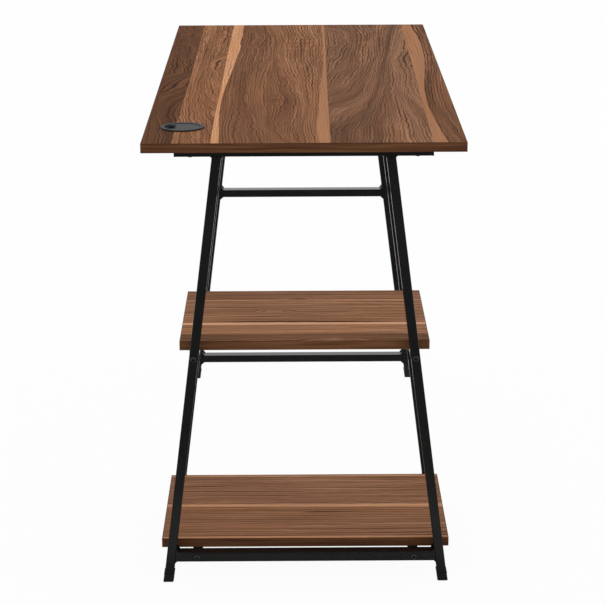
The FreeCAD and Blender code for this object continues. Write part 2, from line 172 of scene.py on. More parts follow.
def growth_field(finish, share, across, lines, length, width):
    """How far a point is through the wood's growth, how much lighter the wood is there, and
    how fast it grows from point to point. A line is (growth up to the next line, lightness,
    points), and its points are (along, across) in millimetres."""
    places = []
    for _, _, points in lines:
        on_print = [(a * millimetre / length, b * millimetre / width) for a, b in points]
        places.append(finish.math("MULTIPLY", finish.curve(share, on_print), width))
    total = finish.math("MINIMUM", finish.math("SUBTRACT", across, places[0]), 0.0)
    lightness, density = lines[0][1], 1.0
    for line, next_line, place, next_place in zip(lines, lines[1:], places, places[1:]):
        growth = line[0] * millimetre
        beyond = finish.math("SUBTRACT", across, place)
        span = finish.math("MAXIMUM", finish.math("SUBTRACT", next_place, place),
                           narrowest_growth)
        part = finish.math("DIVIDE", beyond, span)
        part = finish.math("MINIMUM", finish.math("MAXIMUM", part, 0.0), 1.0)
        total = finish.math("MULTIPLY_ADD", part, growth, total)
        lightness = finish.math("MULTIPLY_ADD", part, next_line[1] - line[1], lightness)
        change = finish.math("SUBTRACT", finish.math("DIVIDE", growth, span), density)
        reached = finish.spread(beyond, -growth_blur, growth_blur)
        density = finish.math("MULTIPLY_ADD", reached, change, density)
    past = finish.math("MAXIMUM", finish.math("SUBTRACT", across, places[-1]), 0.0)
    return finish.math("ADD", total, past), lightness, density


def walnut_print(name, along, across, strips, seams, length, width, waviness,
                 growth=(), ring_gap=None, calm=None):
    """Strips of walnut side by side. A strip is (tone, contrast, ring spacing, tint, figures),
    and a seam is a line of (along, across) points. A figure (along, across, half length, half
    width, lift) bends the growth lines round a place, as the wood does round a knot or under
    an arch of grain. The growth lines of some strips are given by the strip's number. Where
    these spread out or crowd together, the rings are split or joined, to stay near the two
    gaps for the ends of the print in ring_gap. The line through the points in calm lowers the
    contrast where the figure is quiet across the print."""
    finish = Finish(name)
    growth = dict(growth)
    tones, contrasts, spacings, tints, figures = zip(*strips)
    x, y, _ = finish.place()
    along, across = along(finish, x, y), across(finish, x, y)
    share = finish.math("DIVIDE", along, length)
    passed = []
    for points in seams:
        line = finish.curve(share, [(a / length, b / width) for a, b in points])
        beyond = finish.math("MULTIPLY_ADD", line, -width, across)
        passed.append(finish.spread(beyond, -seam_blur, seam_blur))

    def chosen(values):
        """The value of the strip that a point lies in."""
        total = values[0]
        for step, before, after in zip(passed, values, values[1:]):
            if isinstance(before, float) and isinstance(after, float):
                change = after - before
            else:
                change = finish.math("SUBTRACT", after, before)
            total = finish.math("MULTIPLY_ADD", step, change, total)
        return total

    # Each strip is cut from another part of the noise.
    seed = chosen([3.7 * (number + 1) % 5 for number in range(len(strips))])

    def drawn_out(where, per_metre_along, per_metre_across, detail=2.0, roughness=0.5):
        """Noise with its own scale along the print and across it."""
        point = finish.vector(finish.math("MULTIPLY", along, per_metre_along),
                              finish.math("MULTIPLY", where, per_metre_across), seed)
        return finish.noise(point, 1.0, detail, roughness)

    free_sway, led_sway = 0.018, 0.004
    ripple_reach, crinkle_reach, ripple_shift = 0.0115 * waviness, 0.0044 * waviness, 0.03
    ripple = drawn_out(across, 30.0, 16.0, 2.0, 0.55)
    sway = chosen([led_sway if number in growth else free_sway for number in range(len(strips))])
    swayed = finish.swing(drawn_out(across, 3.2, 9.0, 1.0), sway, across)
    swayed = finish.swing(ripple, ripple_reach, swayed)
    swayed = finish.swing(drawn_out(across, 70.0, 12.0, 1.0), crinkle_reach, swayed)
    stretched = finish.swing(ripple, ripple_shift, along)
    spot = finish.vector(stretched, swayed, 0.0)
    bent = finish.math("DIVIDE", stretched, length)
    fields, lights, densities = [], [], []
    for number, places in enumerate(figures):
        grain, light, density = swayed, 0.0, 1.0
        if number in growth:
            grain, light, density = growth_field(finish, bent, swayed, growth[number],
                                                 length, width)
        lights.append(light)
        densities.append(density)
        for a, b, half_length, half_width, lift in places:
            off = finish.node("VectorMath", (spot, (a, b, 0)), operation="SUBTRACT").outputs[0]
            reach = finish.node("VectorMath", (off, (1 / half_length, 1 / half_width, 0)),
                                operation="MULTIPLY").outputs[0]
            far = finish.node("VectorMath", (reach,), operation="LENGTH").outputs["Value"]
            grain = finish.math("ADD", grain, finish.spread(far, 0.0, 1.0, lift, 0.0))
        fields.append(grain)
    grain = chosen(fields)

    broad = drawn_out(grain, 1.6, 42.0)
    uneven = drawn_out(grain, 2.4, 90.0, 1.0)
    fine = drawn_out(grain, 6.0, 400.0, 2.0, 0.6)
    coarse = drawn_out(grain, 5.0, 150.0, 1.0)
    flecks = drawn_out(grain, 48.0, 700.0, 1.0)
    pores = finish.spread(drawn_out(grain, 70.0, 2300.0, 1.0), 0.60, 0.74)
    spacing = chosen(spacings)
    ring_drift, thin_rings = 1.6, 1.62
    turn = finish.math("MULTIPLY_ADD", uneven, ring_drift,
                       finish.math("DIVIDE", grain, spacing))

    def ring_lines(times, rise, peak, fall, end):
        """Lines that darken slowly up to a ring's end, for rings this many times finer."""
        ring = finish.math("FRACT", finish.math("MULTIPLY", turn, times))
        return finish.math("SUBTRACT", finish.spread(ring, rise, peak),
                           finish.spread(ring, fall, end))

    def rings(times):
        return ring_lines(times, 0.58, 0.91, 0.93, 1.0)

    dark = rings(1.0)
    if ring_gap:
        gap = finish.math("MULTIPLY", chosen(densities),
                          finish.spread(share, 0.1, 0.9, *ring_gap, smooth=False))
        room = finish.math("DIVIDE", spacing, gap)
        dark = rings(0.5)
        for times, low, high in ((1.0, 0.50, 0.80), (2.0, 1.35, 1.90), (4.0, 2.70, 3.80)):
            finer = finish.math("SUBTRACT", rings(times), dark)
            dark = finish.math("MULTIPLY_ADD", finish.spread(room, low, high), finer, dark)
        dashes = drawn_out(grain, 42.0, 300.0, 1.0)
        dark = finish.swing(dashes, finish.spread(share, 0.15, 0.85, -0.2, -1.1), dark)
    thin = ring_lines(thin_rings, 0.40, 0.82, 0.84, 1.0)
    faint = finish.spread(drawn_out(grain, 5.0, 45.0, 1.0), 0.34, 0.62, 0.66, 1.0)
    dark = finish.math("MULTIPLY", dark, faint)
    contrast = finish.math("MULTIPLY", chosen(contrasts),
                           finish.spread(share, 0.2, 0.7, 0.95, 1.18))
    if calm:
        quiet = finish.curve(finish.math("DIVIDE", across, width), calm)
        contrast = finish.math("MULTIPLY", contrast, quiet)
    # The figure is built up from its layers round an even tone.
    tone = 0.155
    for layer, weight in ((broad, 0.40), (fine, 0.40), (coarse, 0.28), (flecks, 0.28)):
        tone = finish.swing(layer, weight, tone)
    for layer, weight in ((dark, -0.55), (thin, -0.16)):
        tone = finish.math("MULTIPLY_ADD", layer, weight, tone)
    tone = finish.math("MULTIPLY", tone, contrast)
    tone = finish.math("MULTIPLY_ADD", pores, -0.08, tone)
    tone = finish.math("ADD", tone, chosen(tones))
    tone = finish.math("ADD", tone, chosen(lights))
    cast = finish.noise(finish.vector(finish.math("MULTIPLY", along, 3.5),
                                      finish.math("MULTIPLY", grain, 26.0), 9.0), 1.0, 1.0)
    hue = finish.swing(cast, 0.9, chosen(tints))
    tint = finish.ramp(hue, [(0.0, warm_cast), (1.0, cool_cast)])
    colour = finish.mixed(1.0, finish.ramp(tone, walnut_colours), tint, "MULTIPLY")
    finish.set(Base_Color=colour, Roughness=finish.spread(tone, 0.2, 0.9, 0.66, 0.56),
               Specular_IOR_Level=0.01)
    relief = finish.math("MULTIPLY_ADD", pores, -1.0, finish.math("MULTIPLY", fine, 0.5))
    finish.bump(relief, 0.00006, 0.7)
    return finish


def from_left_end(finish, x, y):
    return finish.math("SUBTRACT", x, left_end)


def from_rear_edge(finish, x, y):
    return finish.math("SUBTRACT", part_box("desktop_rear_band")[1].y, y)


top_strips = [
    (0.34, 0.60, 0.0060, 0.05, []),
    (0.545, 0.92, 0.0058, 0.05, []),
    (0.925, 0.24, 0.0060, 0.10, []),
    (0.515, 0.90, 0.0056, 0.22, [(0.350, 0.1985, 0.050, 0.012, 0.013)]),
    (0.80, 0.26, 0.0060, 0.20, []),
    (0.49, 0.98, 0.0054, 0.80, []),
    (0.765, 0.20, 0.0060, 0.20, [(0.762, 0.472, 0.030, 0.010, 0.008)]),
    (0.45, 1.00, 0.0050, 0.35, []),
]
# The planks' growth lines, from the rear edge to the front one.
top_growth = {
    0: [(6, -0.03, [(0, 8), (200, 4), (300, 2), (420, 3), (500, 10), (560, 24), (600, 44),
                    (640, 60), (1200, 60)]),
        (8, -0.04, [(0, 22), (100, 18), (200, 12), (300, 8), (370, 10), (420, 20), (450, 36),
                    (480, 52), (500, 60), (1200, 60)]),
        (9, -0.06, [(0, 34), (100, 30), (200, 22), (280, 17), (330, 19), (370, 27), (400, 40),
                    (420, 52), (440, 60), (1200, 60)]),
        (14, -0.13, [(0, 44), (100, 40), (200, 33), (260, 28), (300, 30), (340, 38), (370, 50),
                     (400, 60), (1200, 60)]),
        (18, 0.09, [(0, 60), (755, 60), (765, 48), (775, 35), (790, 20), (815, 10), (850, 3),
                    (1200, 0)]),
        (18, 0.12, [(0, 60), (915, 60), (925, 50), (935, 35), (950, 20), (970, 10), (1000, 2),
                    (1200, 0)]),
        (0, 0.11, [(0, 60), (1095, 60), (1100, 50), (1105, 35), (1112, 18), (1130, 10),
                   (1170, 2), (1200, 0)])],
    1: [(12, 0.05, [(0, 56), (150, 60), (200, 62), (250, 60), (350, 56), (450, 54), (600, 53),
                    (800, 57), (1200, 58)]),
        (12, 0.05, [(0, 80), (100, 74), (189, 71), (233, 70), (267, 68), (300, 65), (339, 63),
                    (372, 60.5), (430, 58.5), (550, 59), (700, 62), (800, 64), (950, 66),
                    (1200, 67)]),
        (9, 0, [(0, 114), (150, 109), (178, 107), (194, 102), (228, 96), (256, 90), (283, 81),
                (317, 75), (356, 71), (400, 66.6), (428, 63.5), (500, 62.5), (600, 65),
                (700, 68), (800, 70), (950, 73), (1200, 75)]),
        (7, 0, [(0, 124), (200, 116), (240, 111), (256, 108.5), (267, 102), (283, 95),
                (311, 89.7), (344, 83.5), (383, 77), (430, 72), (500, 70), (600, 72), (700, 75),
                (800, 77), (950, 81), (1200, 84)]),
        (6, 0.02, [(0, 126), (270, 118), (305, 111), (311, 106), (322, 99), (350, 93.5),
                   (378, 88.5), (406, 84.7), (439, 81), (472, 78.5), (530, 76.5), (600, 77.5),
                   (700, 79), (760, 80), (800, 83), (950, 88), (1200, 91)]),
        (9, 0.03, [(0, 128), (330, 118), (370, 112), (378, 108), (389, 102), (406, 96),
                   (428, 90), (456, 86.6), (500, 83.5), (544, 81), (589, 80), (640, 81),
                   (700, 82), (740, 83), (780, 88), (800, 92), (830, 94), (950, 96),
                   (1200, 99)]),
        (0, 0, [(0, 130), (360, 120), (395, 112), (400, 108.5), (417, 102), (456, 98),
                (500, 96), (539, 93.5), (589, 92), (633, 89.7), (650, 87), (689, 84.5),
                (730, 84.5), (760, 88), (780, 95), (795, 103), (805, 110), (830, 116),
                (1200, 118)])],
    3: [(11, -0.07, [(0, 143), (68, 141), (120, 139), (185, 140), (300, 141), (600, 140),
                     (800, 143), (1000, 148), (1200, 150)]),
        (12, -0.06, [(0, 164), (107, 162.5), (142, 164), (185, 162.5), (246, 159), (272, 156),
                     (307, 154), (342, 151), (400, 150), (500, 150), (600, 151), (700, 154),
                     (800, 158), (880, 163), (908, 163), (933, 160), (958, 155), (990, 157),
                     (1067, 160), (1133, 156), (1200, 152)]),
        (13, -0.05, [(0, 184), (50, 179), (100, 176), (163, 175), (211, 171), (237, 167.5),
                     (272, 164), (316, 160), (380, 160), (500, 161), (600, 162), (700, 166),
                     (800, 170), (880, 172), (908, 171.5), (933, 166), (958, 161), (1008, 169),
                     (1067, 167.5), (1133, 164), (1200, 160)]),
        (7, -0.03, [(0, 203), (50, 195), (85, 190), (124, 186), (170, 184), (233, 183),
                    (250, 181), (272, 179), (307, 177), (342, 174), (450, 174), (577, 175),
                    (650, 178), (700, 180), (760, 184), (830, 186), (900, 184), (960, 180),
                    (1020, 185), (1080, 182), (1140, 176), (1200, 172)]),
        (17, -0.03, [(0, 212), (50, 205), (85, 197.5), (129, 190), (170, 188), (233, 187.5),
                     (298, 186), (342, 187), (377, 185), (411, 185), (446, 182.5), (490, 181),
                     (577, 182.5), (640, 186), (700, 191), (760, 195), (830, 196), (900, 194),
                     (958, 197), (1010, 196), (1060, 192), (1125, 186), (1200, 178)]),
        (9, -0.02, [(0, 229), (29, 222.5), (63, 215), (98, 210), (133, 207.5), (168, 207.5),
                    (194, 209), (220, 212.5), (246, 215), (298, 217), (324, 219), (359, 219),
                    (394, 217), (424, 212.5), (463, 210), (498, 210.6), (550, 209), (603, 206),
                    (720, 204), (800, 201), (883, 201), (917, 204), (958, 207), (992, 206),
                    (1025, 205), (1060, 203), (1125, 197), (1200, 190)]),
        (12, 0, [(0, 236), (50, 230), (81, 226), (107, 222.5), (137, 220), (163, 221),
                 (194, 226), (211, 230), (237, 231), (355, 231), (390, 230.6), (420, 227.5),
                 (446, 224), (490, 222.5), (542, 221), (577, 220), (617, 216), (683, 212),
                 (750, 209.5), (790, 206.5), (883, 206), (958, 212), (1000, 214), (1040, 212),
                 (1108, 208), (1200, 200)]),
        (8, 0.04, [(0, 245), (76, 241), (142, 240), (229, 241), (272, 242.5), (316, 245),
                   (376, 245), (424, 242.5), (455, 239), (533, 240), (563, 237.5), (598, 232.5),
                   (658, 228), (725, 224), (783, 220), (825, 219), (867, 216), (925, 218),
                   (1000, 220), (1040, 222), (1108, 218), (1200, 212)]),
        (13, 0.05, [(0, 251), (55, 248), (98, 245.5), (133, 246), (168, 247), (202, 250.5),
                    (316, 252), (394, 251), (424, 249), (468, 246), (560, 246), (617, 240.5),
                    (700, 235), (767, 231), (850, 230), (983, 232), (1033, 234), (1080, 232),
                    (1140, 227), (1200, 222)]),
        (16, 0.05, [(0, 263), (98, 258), (168, 256), (202, 258.5), (300, 260), (424, 258),
                    (577, 256), (650, 252), (700, 250), (783, 248.5), (950, 250), (1033, 247),
                    (1117, 241), (1200, 236)]),
        (0, 0.03, [(0, 276), (55, 272.5), (98, 268), (163, 268), (207, 270.5), (403, 271),
                   (490, 272.5), (577, 274), (683, 271), (733, 267.5), (800, 265), (892, 266),
                   (958, 272.5), (1008, 271), (1092, 263), (1200, 258)])],
    5: [(24, 0.03, [(0, 274), (600, 280), (700, 284), (750, 290), (769, 296), (777, 302),
                    (800, 308), (825, 312), (858, 314), (892, 315.5), (908, 320.5), (929, 327),
                    (950, 330), (983, 331), (1042, 331), (1096, 328), (1129, 320), (1142, 303),
                    (1160, 280), (1200, 270)]),
        (34, 0.03, [(0, 275), (560, 281), (600, 287), (624, 294), (640, 311), (652, 315),
                    (671, 321), (692, 324), (733, 330), (804, 333), (846, 336), (883, 342),
                    (967, 349), (1033, 348), (1071, 344), (1096, 340.5), (1125, 334),
                    (1137, 327), (1146, 319), (1158, 303), (1200, 285)]),
        (16, 0, [(0, 276), (400, 284), (445, 290), (455, 297), (458, 308), (471, 315),
                 (490, 322), (505, 328), (533, 332), (557, 339), (586, 344), (619, 348),
                 (681, 352), (720, 354), (820, 355), (870, 357), (910, 361), (950, 363),
                 (1010, 363.5), (1050, 366), (1100, 362), (1150, 356), (1200, 350)]),
        (13, -0.02, [(0, 277), (340, 284), (378, 290), (388, 298), (402, 311), (410, 320),
                     (424, 325), (443, 330), (471, 333), (490, 336), (519, 340), (538, 344),
                     (552, 349), (581, 353.5), (638, 357), (667, 361), (695, 364), (745, 369),
                     (800, 372), (850, 375), (900, 378), (950, 381), (1040, 384), (1080, 385),
                     (1130, 382), (1200, 377)]),
        (12, -0.02, [(0, 278), (300, 285), (330, 291), (343, 304), (352, 311), (367, 319),
                     (372, 326), (390, 332), (414, 339), (433, 344), (457, 350), (486, 353.5),
                     (514, 356), (543, 361), (576, 365), (605, 368), (638, 370), (667, 373.5),
                     (695, 376), (740, 381), (780, 385), (830, 388), (930, 392), (1040, 394),
                     (1100, 394), (1150, 391), (1200, 388)]),
        (11, -0.01, [(0, 279), (240, 285), (275, 291), (286, 304), (292, 318), (305, 327),
                     (319, 332), (333, 339), (357, 346), (386, 351.6), (405, 357), (433, 361),
                     (471, 363.5), (505, 366), (533, 370), (567, 373.5), (633, 378), (676, 381),
                     (730, 387), (780, 392), (830, 397), (880, 400), (950, 402), (1000, 403),
                     (1062, 405.5), (1117, 410.5), (1158, 414), (1200, 418)]),
        (11, 0, [(0, 280), (180, 286), (214, 292), (222, 306), (228, 318), (248, 324),
                 (267, 332), (281, 339), (295, 346), (324, 351.6), (348, 357), (371, 361),
                 (395, 365), (424, 368), (457, 370), (486, 372), (510, 375), (538, 379),
                 (605, 384), (652, 385), (700, 388), (760, 394), (820, 400), (880, 404),
                 (940, 406), (1000, 408), (1060, 413), (1120, 418), (1200, 424)]),
        (18, -0.1, [(0, 281), (120, 288), (146, 297), (155, 312), (165, 322), (180, 332),
                    (200, 338), (225, 344), (243, 350), (262, 355), (281, 359), (329, 363.5),
                    (367, 368), (395, 371.6), (424, 373.5), (460, 377), (500, 381), (540, 384),
                    (590, 388), (700, 395), (760, 400), (820, 405), (880, 409), (940, 412),
                    (1000, 415), (1060, 419), (1120, 425), (1200, 431)]),
        (14, -0.11, [(0, 323), (33, 326), (67, 329), (100, 330), (135, 337), (162, 342),
                     (186, 344.5), (215, 348), (235, 353), (255, 359), (275, 363), (300, 366),
                     (350, 371), (400, 376), (450, 380), (500, 385), (560, 389), (620, 393),
                     (700, 399), (760, 404), (820, 410), (880, 414), (940, 417), (1000, 420),
                     (1060, 424), (1120, 430), (1200, 437)]),
        (18, -0.03, [(0, 349), (81, 351.6), (129, 354), (143, 360), (162, 365), (195, 367),
                     (219, 370), (248, 372.5), (305, 376), (324, 379), (367, 383.5), (405, 386),
                     (433, 388), (462, 391), (495, 392.5), (529, 395), (600, 398), (700, 403),
                     (780, 409), (850, 415), (900, 419), (960, 423), (1020, 427), (1080, 432),
                     (1140, 438), (1200, 444)]),
        (8, 0.06, [(0, 388), (100, 391), (200, 393.5), (300, 395), (350, 396), (400, 398),
                   (500, 401), (560, 403), (620, 406), (700, 411), (760, 413), (820, 418),
                   (870, 425), (920, 430), (980, 435), (1040, 440), (1100, 446), (1200, 454)]),
        (22, 0.1, [(0, 408), (200, 408), (300, 407), (400, 407), (500, 409), (600, 413),
                   (700, 415.5), (780, 417), (830, 423), (880, 429), (930, 434), (990, 438),
                   (1050, 445), (1100, 452), (1200, 462)]),
        (0, 0.08, [(0, 456), (100, 452), (200, 446), (300, 439), (367, 429), (400, 423),
                   (450, 421), (500, 421.5), (550, 423), (600, 425.5), (660, 425), (700, 422.5),
                   (758, 420.5), (783, 421), (808, 426), (838, 431), (867, 435), (900, 438),
                   (942, 440), (983, 443), (1017, 447), (1046, 453), (1100, 461),
                   (1200, 470)])],
    7: [(10, 0, [(0, 473), (75, 466), (137, 463.5), (200, 460.5), (262, 458.5), (325, 457.5),
                 (400, 459), (500, 462.5), (600, 469), (700, 475), (762, 478), (825, 480),
                 (950, 481.5), (1075, 479), (1125, 476), (1200, 473)]),
        (0, -0.03, [(0, 489), (75, 483), (137, 479), (200, 475), (262, 472), (325, 470),
                    (400, 471), (500, 474), (600, 480), (700, 487), (800, 492), (950, 494),
                    (1075, 492), (1200, 487)])],
}
top_seams = [
    [(0.0, 0.047), (0.14, 0.048), (0.33, 0.049), (0.5, 0.0505), (0.7, 0.0515), (0.95, 0.052),
     (1.2, 0.054)],
    [(0.0, 0.107), (0.2, 0.1065), (0.45, 0.1085), (0.7, 0.1095), (0.95, 0.111), (1.2, 0.113)],
    [(0.0, 0.1195), (0.075, 0.118), (0.14, 0.116), (0.2, 0.114), (0.29, 0.113), (0.425, 0.1145),
     (0.525, 0.118), (0.625, 0.1225), (0.725, 0.126), (0.825, 0.1295), (0.875, 0.1318),
     (0.925, 0.133), (0.965, 0.1308), (1.01, 0.1318), (1.075, 0.134), (1.125, 0.133),
     (1.2, 0.1336)],
    [(0.0, 0.2745), (0.037, 0.2725), (0.075, 0.27), (0.137, 0.2705), (0.2, 0.2735),
     (0.262, 0.2755), (0.387, 0.278), (0.45, 0.2795), (0.512, 0.2815), (0.575, 0.2845),
     (0.7, 0.2885), (0.825, 0.291), (1.2, 0.2915)],
    [(0.0, 0.291), (0.2, 0.2915), (0.45, 0.2925), (0.7, 0.294), (0.95, 0.296), (1.2, 0.297)],
    [(0.0, 0.4485), (0.2, 0.449), (0.45, 0.451), (0.7, 0.4525), (0.95, 0.454), (1.2, 0.456)],
    [(0.0, 0.4705), (0.075, 0.466), (0.137, 0.4635), (0.2, 0.4605), (0.262, 0.4585),
     (0.325, 0.4575), (0.4, 0.459), (0.45, 0.46), (0.5, 0.4625), (0.55, 0.4655), (0.6, 0.469),
     (0.65, 0.472), (0.7, 0.475), (0.762, 0.478), (0.825, 0.48), (0.95, 0.4815), (1.01, 0.4805),
     (1.075, 0.479), (1.125, 0.476), (1.2, 0.473)],
]
top_calm = [(0.0, 1.0), (0.20, 1.0), (0.28, 0.78), (0.40, 0.80), (0.47, 1.0), (0.56, 1.0),
            (0.61, 0.78), (0.69, 0.80), (0.78, 1.0), (1.0, 1.0)]
top_ring_gap = (0.0040, 0.0056)
top_print_size = (1.2, 0.5)
top_waviness = 1.0
dress(["desktop"], walnut_print("walnut_top_print", from_left_end, from_rear_edge, top_strips,
                                top_seams, *top_print_size, top_waviness, top_growth,
                                top_ring_gap, top_calm))

# Edge bands of the top: 1 mm strips with a plain printed grain, glued on and trimmed. Their
# print runs along each edge and is darker and redder than the faces: partly the bands' own
# colour, partly painted shade for the edges' dimmer light.
band_colours = [(0.0, (0.026, 0.010, 0.005)), (0.35, (0.061, 0.024, 0.012)),
                (0.6, (0.098, 0.042, 0.019)), (0.85, (0.148, 0.070, 0.032)),
                (1.0, (0.215, 0.108, 0.052))]


def band_print(name, lightness):
    """Grain that runs along the edge that a band covers, whichever way the edge faces."""
    finish = Finish(name)
    x, y, z = finish.place()
    facing = finish.node("NewGeometry").outputs["Normal"]
    end_on = finish.math("ABSOLUTE", finish.node("SeparateXYZ", (facing,)).outputs[0])
    on_end = finish.spread(end_on, 0.45, 0.55)
    along = finish.math("ADD", finish.math("MULTIPLY", on_end, finish.math("SUBTRACT", y, x)), x)
    bow = finish.noise(finish.vector(finish.math("MULTIPLY", along, 6.0),
                                     finish.math("MULTIPLY", z, 20.0), 0.0), 1.0)
    height = finish.math("MULTIPLY_ADD", bow, 0.006, z)

    def streaks(per_metre_along, per_metre_up, detail=2.0):
        point = finish.vector(finish.math("MULTIPLY", along, per_metre_along),
                              finish.math("MULTIPLY", height, per_metre_up), 4.0)
        return finish.noise(point, 1.0, detail, 0.55)

    lines = streaks(5.0, 420.0)
    patches = streaks(7.0, 130.0, 1.0)
    fine = streaks(14.0, 1500.0)
    tone = lightness
    for layer, weight in ((lines, 0.9), (patches, 0.7), (fine, 0.35)):
        tone = finish.swing(layer, weight, tone)
    finish.set(Base_Color=finish.ramp(tone, band_colours), Roughness=0.60,
               Specular_IOR_Level=0.02)
    finish.bump(fine, 0.00004, 0.6)
    return finish


dress([f"desktop_{side}_band" for side in ("left", "right", "front", "rear")],
      band_print("walnut_top_band", 0.46))


# Frames: mild steel tube, 15 by 25 mm, cut and welded, then powder coated in one piece. The
# coat is satin black with a very fine orange-peel skin.
def powder_coat(name, colour=(0.0066, 0.0068, 0.0066), roughness=0.13, specular=0.33):
    finish = Finish(name)
    point = finish.point()
    cloud = finish.noise(point, 22.0, 3.0, 0.6)
    peel = finish.noise(point, 1500.0, 1.0)
    specks = finish.noise(point, 5200.0, 0.0)
    depth = finish.spread(cloud, 0.3, 0.7, 0.86, 1.16, smooth=False)
    sheen = finish.spread(cloud, 0.3, 0.7, roughness - 0.04, roughness + 0.05, smooth=False)
    finish.set(Base_Color=finish.scaled(colour, depth), Specular_IOR_Level=specular,
               Roughness=sheen)
    finish.bump(finish.math("MULTIPLY_ADD", specks, 0.35, peel), 0.000012, 0.8)
    return finish


def shade(finish, factor):
    """Paints shade into a finish, darkening its colour where the factor is below 1."""
    plain = finish.shader.inputs["Base Color"].links[0].from_socket
    finish.set(Base_Color=finish.scaled(plain, factor))


frame_coat = powder_coat("black_powder_coat")
frames = ("left_frame", "middle_frame", "right_frame")
frame_tubes = ("top_bar", "crossbar", "front_leg", "rear_leg")
dress([f"{name}_{tube}" for name in frames for tube in frame_tubes], frame_coat)
dress(["right_frame_upper_crossbar"], frame_coat)


# Plugs in the top bars' ends and caps on the legs: injection moulded black plastic, pushed
# in or on by hand, with a spark-eroded satin skin.
def moulded_plastic(name, colour, roughness, specular):
    finish = Finish(name)
    point = finish.point()
    flow = finish.noise(point, 60.0, 2.0)
    skin = finish.noise(point, 2600.0, 2.0, 0.7)
    depth = finish.spread(flow, 0.3, 0.7, 0.90, 1.10, smooth=False)
    sheen = finish.spread(skin, 0.3, 0.7, roughness - 0.05, roughness + 0.06, smooth=False)
    finish.set(Base_Color=finish.scaled(colour, depth), Specular_IOR_Level=specular,
               Roughness=sheen)
    finish.bump(skin, 0.00002, 0.8)
    return finish


cap_plastic = moulded_plastic("black_cap_plastic", (0.0085, 0.0085, 0.0085), 0.40, 0.22)
for side in ("front", "rear"):
    dress([f"{name}_{side}_foot_cap" for name in frames], cap_plastic)
    dress([f"{name}_{side}_bar_plug" for name in frames], cap_plastic)


# Shelves: the same board and print as the top, turned so that the grain runs across the desk.
# Each has one wide pale strip and some thin ones. Their strips' tones are lighter than the
# top's: painted light that makes up for the shade that the top casts on them.
shelf_far_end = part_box("upper_shelf_bands")[1].x
shelf_print_size = (0.5, 0.3)
shelf_waviness = 0.5


def from_rear_side(finish, x, y):
    return finish.math("SUBTRACT", shelf_print_size[0] / 2, y)


def from_far_end(finish, x, y):
    return finish.math("SUBTRACT", shelf_far_end, x)


def level_seam(distance, lean=0.0):
    """A straight seam along the shelf's print, a little out of level where it leans."""
    end = shelf_print_size[0]
    return [(0.0, distance - lean), (end / 2, distance), (end, distance + lean)]


def dress_shelf(height, strips, seams, band_lightness):
    shelf = f"{height}_shelf"
    dress([shelf], walnut_print(f"walnut_{shelf}", from_rear_side, from_far_end, strips, seams,
                                *shelf_print_size, shelf_waviness))
    dress([f"{shelf}_bands"], band_print(f"walnut_{height}_band", band_lightness))


# The strips' tones, the first column, are raised as painted light against the shade under the
# top.
dress_shelf("upper", [
    (0.68, 0.78, 0.0085, 1.00, [(0.24, 0.045, 0.070, 0.016, 0.012)]),
    (0.92, 0.30, 0.0090, 0.75, []),
    (0.74, 0.74, 0.0095, 0.85, [(0.20, 0.122, 0.060, 0.018, 0.014),
                                (0.30, 0.150, 0.080, 0.020, -0.012)]),
    (1.02, 0.20, 0.0090, 0.55, []),
    (0.81, 0.62, 0.0095, 0.75, []),
    (0.53, 0.84, 0.0085, 1.00, [(0.30, 0.285, 0.090, 0.020, 0.014)]),
], [level_seam(0.0575, 0.0015), level_seam(0.0625, 0.0015), level_seam(0.195, 0.001),
    level_seam(0.2085, 0.0015), level_seam(0.259)], 0.60)
dress_shelf("lower", [
    (0.60, 0.50, 0.0085, 0.95, []),
    (0.92, 0.30, 0.0085, 0.75, []),
    (0.62, 0.78, 0.0080, 1.00, [(0.14, 0.150, 0.150, 0.050, 0.030),
                                (0.32, 0.150, 0.150, 0.040, 0.024)]),
    (0.90, 0.30, 0.0085, 0.75, []),
    (0.63, 0.64, 0.0090, 0.80, [(0.27, 0.235, 0.110, 0.014, 0.006)]),
    (0.87, 0.25, 0.0090, 0.55, []),
], [level_seam(0.0045), level_seam(0.0105), level_seam(0.1455), level_seam(0.157, 0.0035),
    level_seam(0.2915)], 0.45)


# Rails under the shelves: 15 mm square tube, coated with the frames, with a zinc plated
# threaded block in each end.
dress([f"{height}_{side}_rail" for height in ("upper", "lower") for side in ("front", "rear")],
      frame_coat)


def plated_zinc(name):
    finish = Finish(name)
    spangle = finish.noise(finish.point(), 400.0, 3.0, 0.6)
    colours = [(0.3, (0.42, 0.42, 0.43)), (0.7, (0.62, 0.62, 0.60))]
    finish.set(Base_Color=finish.ramp(spangle, colours), Metallic=1.0,
               Roughness=finish.spread(spangle, 0.3, 0.7, 0.28, 0.42, smooth=False))
    finish.bump(spangle, 0.00001, 0.5)
    return finish


dress(["rail_blocks"], plated_zinc("zinc_plate"))

# Bolts and screws: steel with a black finish, smoother than the frames' coat. The sockets in the
# bolts' heads, and the edge where a head meets the tube, are darkened with painted shade.
screw_black = powder_coat("black_screw_finish", (0.016, 0.016, 0.0165), 0.35, 0.5)
dress(["top_screws", "shelf_screws"], screw_black)
bolt_black = powder_coat("black_bolt_finish", (0.018, 0.018, 0.0185), 0.35, 0.4)
first_head, last_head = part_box("rail_bolts")
# Painted shade: below the heads' tops the bolts' colour fades almost to black, from 0.6 to 1.9
# mm deep.
socket_shade_from, socket_shade_to = 0.0006, 0.0019
x = bolt_black.place()[0]
depth = bolt_black.math("MINIMUM", bolt_black.math("SUBTRACT", x, first_head.x),
                        bolt_black.math("SUBTRACT", last_head.x, x))
shade(bolt_black, bolt_black.spread(depth, socket_shade_from, socket_shade_to, 1.0, 0.04))
dress(["rail_bolts"], bolt_black)

